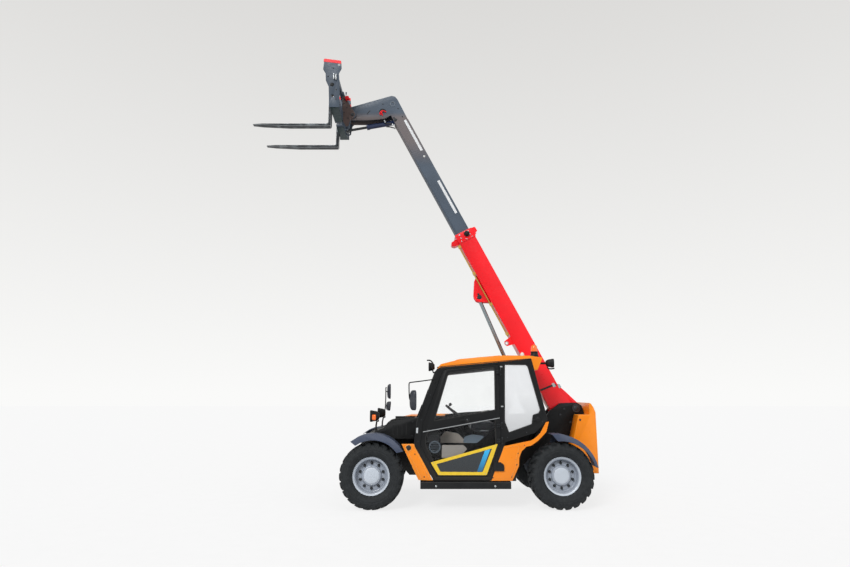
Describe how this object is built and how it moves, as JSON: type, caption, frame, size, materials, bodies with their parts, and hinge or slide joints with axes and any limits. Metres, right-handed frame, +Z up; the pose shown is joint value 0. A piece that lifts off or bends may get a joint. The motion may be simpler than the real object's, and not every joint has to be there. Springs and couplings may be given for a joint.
{
  "type": "telehandler",
  "caption": "Compact telescopic handler with a side cab, rubber tyres, a two stage lifting boom raised and extended, and a tilting pallet fork carriage.",
  "frame": {"origin": "on the ground, under the middle of the machine's bounding box, with the boom raised as it is stored", "axes": "+Z up, the forks point along -X, the cab is on the -Y side"},
  "size_m": [5.039, 2.12, 6.5484],
  "materials": {
    "amber_lens": "amber moulded lens",
    "black_paint": "satin black powder coat",
    "black_plastic": "grained black plastic",
    "cast_steel": "painted castings",
    "chrome_rod": "ground and plated cylinder rod",
    "dark_steel": "dark rolled steel",
    "fender_plastic": "moulded blue grey plastic",
    "navy_paint": "satin navy paint",
    "orange_paint": "glossy orange machine paint",
    "red_paint": "glossy red machine paint",
    "rim_paint": "satin silver grey wheel paint",
    "seat_fabric": "dark woven seat cover",
    "slate_paint": "satin dark slate paint",
    "tinted_glass": "lightly tinted cab glass",
    "tyre": "black tyre rubber",
    "zinc_pipe": "yellow zinc plated pipe"
  },
  "bodies": {
    "chassis": {"beacon": "amber_lens", "cab_frame": "black_paint", "cab_roof": "orange_paint", "chassis_frame": "black_paint", "dashboard": "black_plastic", "engine": "cast_steel", "front_axle": "cast_steel", "front_cover_right": "black_plastic", "front_hood_left": "black_plastic", "front_left_fender": "fender_plastic", "front_right_fender": "fender_plastic", "front_side_panel": "orange_paint", "front_work_lamp": "black_plastic", "left_headlamp": "black_plastic", "left_mirror": "black_plastic", "left_quarter_glass": "tinted_glass", "rear_axle": "cast_steel", "rear_side_panel": "orange_paint", "rear_weight": "orange_paint", "rear_window": "tinted_glass", "rear_work_lamp": "black_plastic", "right_lamp_and_mirror": "black_plastic", "right_side_glass": "tinted_glass", "right_side_panel": "orange_paint", "seat_back": "seat_fabric", "seat_base": "black_plastic", "seat_cushion": "seat_fabric", "side_step": "black_plastic", "windscreen": "tinted_glass"},
    "inner_boom": {"boom_inner": "slate_paint"},
    "boom": {"boom_outer": "red_paint", "boom_pipes": "zinc_pipe"},
    "cab_door": {"cab_door": "black_paint", "door_lower_glass": "tinted_glass", "door_upper_glass": "tinted_glass"},
    "carriage": {"carriage": "slate_paint", "fork_left": "dark_steel", "fork_right": "dark_steel"},
    "engine_hood": {"engine_hood": "orange_paint"},
    "front_left_hub": {"front_left_knuckle": "cast_steel"},
    "front_left_wheel": {"front_left_rim": "rim_paint", "front_left_tyre": "tyre"},
    "front_right_hub": {"front_right_knuckle": "cast_steel"},
    "front_right_wheel": {"front_right_rim": "rim_paint", "front_right_tyre": "tyre"},
    "front_track_rod": {"front_track_rod": "dark_steel"},
    "lift_barrel": {"lift_cylinder_barrel": "black_paint"},
    "lift_rod": {"lift_cylinder_rod": "chrome_rod"},
    "rear_left_hub": {"rear_left_fender": "fender_plastic", "rear_left_knuckle": "cast_steel"},
    "rear_left_wheel": {"rear_left_rim": "rim_paint", "rear_left_tyre": "tyre"},
    "rear_right_hub": {"rear_right_fender": "fender_plastic", "rear_right_knuckle": "cast_steel"},
    "rear_right_wheel": {"rear_right_rim": "rim_paint", "rear_right_tyre": "tyre"},
    "rear_track_rod": {"rear_track_rod": "dark_steel"},
    "tilt_barrel": {"tilt_cylinder_barrel": "navy_paint"},
    "tilt_rod": {"tilt_cylinder_rod": "chrome_rod"}
  },
  "joints": [
    {"name": "boom_lift", "type": "hinge", "parent": "chassis", "child": "boom", "pos_m": [2.31648, 0.05, 1.25], "axis": [0, 1, 0], "range_deg": [-63, 2]},
    {"name": "boom_extend", "type": "slide", "parent": "boom", "child": "inner_boom", "axis": [-0.4602, 0, 0.8878], "range_m": [-2, 0]},
    {"name": "carriage_tilt", "type": "hinge", "parent": "inner_boom", "child": "carriage", "pos_m": [-1.02448, 0.05, 5.84835], "axis": [0, -1, 0], "range_deg": [-72, 14]},
    {"name": "lift_cylinder_swing", "type": "hinge", "parent": "chassis", "child": "lift_barrel", "pos_m": [1.87848, 0.05, 0.66], "axis": [0, 1, 0], "range_deg": [-63.78, 2.51]},
    {"name": "lift_cylinder_stroke", "type": "slide", "parent": "lift_barrel", "child": "lift_rod", "axis": [-0.3829, 0, 0.9238], "range_m": [-0.7708, 0.0274]},
    {"name": "tilt_cylinder_swing", "type": "hinge", "parent": "inner_boom", "child": "tilt_barrel", "pos_m": [-0.34171, 0.05, 5.76975], "axis": [0, 1, 0], "range_deg": [-3.65, 16.72]},
    {"name": "tilt_cylinder_stroke", "type": "slide", "parent": "tilt_barrel", "child": "tilt_rod", "axis": [-0.983, 0, -0.1836], "range_m": [-0.0309, 0.1466]},
    {"name": "cab_door_swing", "type": "hinge", "parent": "chassis", "child": "cab_door", "pos_m": [1.13848, -0.8904, 1.2], "axis": [0, 0, 1], "range_deg": [0, 85]},
    {"name": "engine_hood_lift", "type": "hinge", "parent": "chassis", "child": "engine_hood", "pos_m": [0.69848, 0.203, 1.13], "axis": [1, 0, 0], "range_deg": [0, 60]},
    {"name": "front_left_steer", "type": "hinge", "parent": "chassis", "child": "front_left_hub", "pos_m": [-0.55152, -0.62, 0.4175], "axis": [0, 0, 1], "range_deg": [-30, 30]},
    {"name": "front_left_roll", "type": "hinge", "parent": "front_left_hub", "child": "front_left_wheel", "pos_m": [-0.55152, -0.765, 0.4175], "axis": [0, 1, 0], "continuous": true},
    {"name": "front_right_steer", "type": "hinge", "parent": "chassis", "child": "front_right_hub", "pos_m": [-0.55152, 0.62, 0.4175], "axis": [0, 0, 1], "range_deg": [-30, 30]},
    {"name": "front_right_roll", "type": "hinge", "parent": "front_right_hub", "child": "front_right_wheel", "pos_m": [-0.55152, 0.765, 0.4175], "axis": [0, 1, 0], "continuous": true},
    {"name": "front_track_rod_slide", "type": "slide", "parent": "chassis", "child": "front_track_rod", "axis": [0, 1, 0], "range_m": [-0.085, 0.085]},
    {"name": "rear_left_steer", "type": "hinge", "parent": "chassis", "child": "rear_left_hub", "pos_m": [1.89848, -0.62, 0.4175], "axis": [0, 0, 1], "range_deg": [-30, 30]},
    {"name": "rear_left_roll", "type": "hinge", "parent": "rear_left_hub", "child": "rear_left_wheel", "pos_m": [1.89848, -0.765, 0.4175], "axis": [0, 1, 0], "continuous": true},
    {"name": "rear_right_steer", "type": "hinge", "parent": "chassis", "child": "rear_right_hub", "pos_m": [1.89848, 0.62, 0.4175], "axis": [0, 0, 1], "range_deg": [-30, 30]},
    {"name": "rear_right_roll", "type": "hinge", "parent": "rear_right_hub", "child": "rear_right_wheel", "pos_m": [1.89848, 0.765, 0.4175], "axis": [0, 1, 0], "continuous": true},
    {"name": "rear_track_rod_slide", "type": "slide", "parent": "chassis", "child": "rear_track_rod", "axis": [0, 1, 0], "range_m": [-0.085, 0.085]}
  ],
  "couplings": [
    {"joint": "lift_cylinder_swing", "follows": "boom_lift", "ratio": 1.0045},
    {"joint": "lift_cylinder_stroke", "follows": "boom_lift", "m_per_rad": 0.69829},
    {"joint": "tilt_cylinder_swing", "follows": "carriage_tilt", "ratio": -0.22524},
    {"joint": "tilt_cylinder_stroke", "follows": "carriage_tilt", "m_per_rad": -0.11427},
    {"joint": "front_right_steer", "follows": "front_left_steer", "ratio": 1},
    {"joint": "front_track_rod_slide", "follows": "front_left_steer", "m_per_rad": 0.15756},
    {"joint": "rear_right_steer", "follows": "rear_left_steer", "ratio": 1},
    {"joint": "rear_track_rod_slide", "follows": "rear_left_steer", "m_per_rad": 0.15756}
  ]
}
